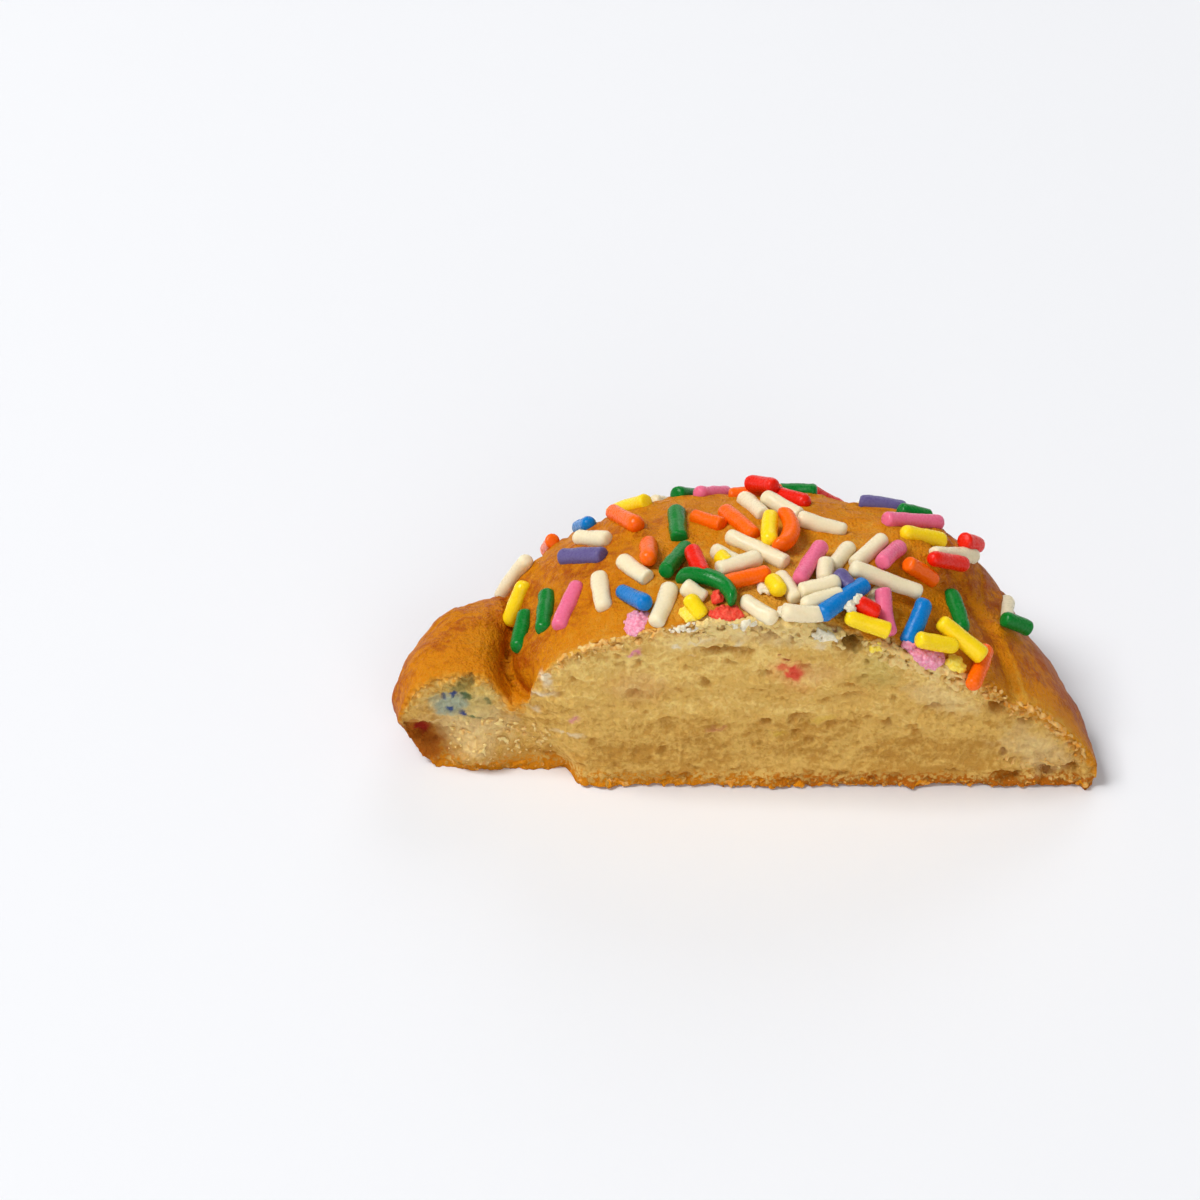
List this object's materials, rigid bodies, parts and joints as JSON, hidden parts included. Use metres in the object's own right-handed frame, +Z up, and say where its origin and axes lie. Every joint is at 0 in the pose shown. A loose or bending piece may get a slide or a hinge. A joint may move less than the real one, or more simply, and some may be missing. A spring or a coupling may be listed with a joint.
{
  "type": "half of a sprinkle sugar cookie",
  "caption": "Half of a thick baked sugar cookie with rod sprinkles on its domed crust, cut face upright, resting on its flat base.",
  "frame": {"origin": "under the middle of the bounding box, on the surface that the cookie rests on", "axes": "+X to the right along the cut, as seen from the cut's side; +Y from the cut towards the rounded back; +Z up"},
  "size_m": [0.076, 0.0372, 0.0256],
  "materials": {
    "cookie": "baked dough, golden crust and paler crumb, matt to satin",
    "sprinkle_white": "white sugar, satin, slightly see-through",
    "sprinkle_green": "dyed sugar, satin",
    "sprinkle_pink": "dyed sugar, satin",
    "sprinkle_blue": "dyed sugar, satin",
    "sprinkle_orange": "dyed sugar, satin",
    "sprinkle_yellow": "dyed sugar, satin",
    "sprinkle_red": "dyed sugar, satin",
    "sprinkle_purple": "dyed sugar, satin"
  },
  "bodies": {
    "root": {"cookie_half": "cookie"}
  },
  "joints": []
}
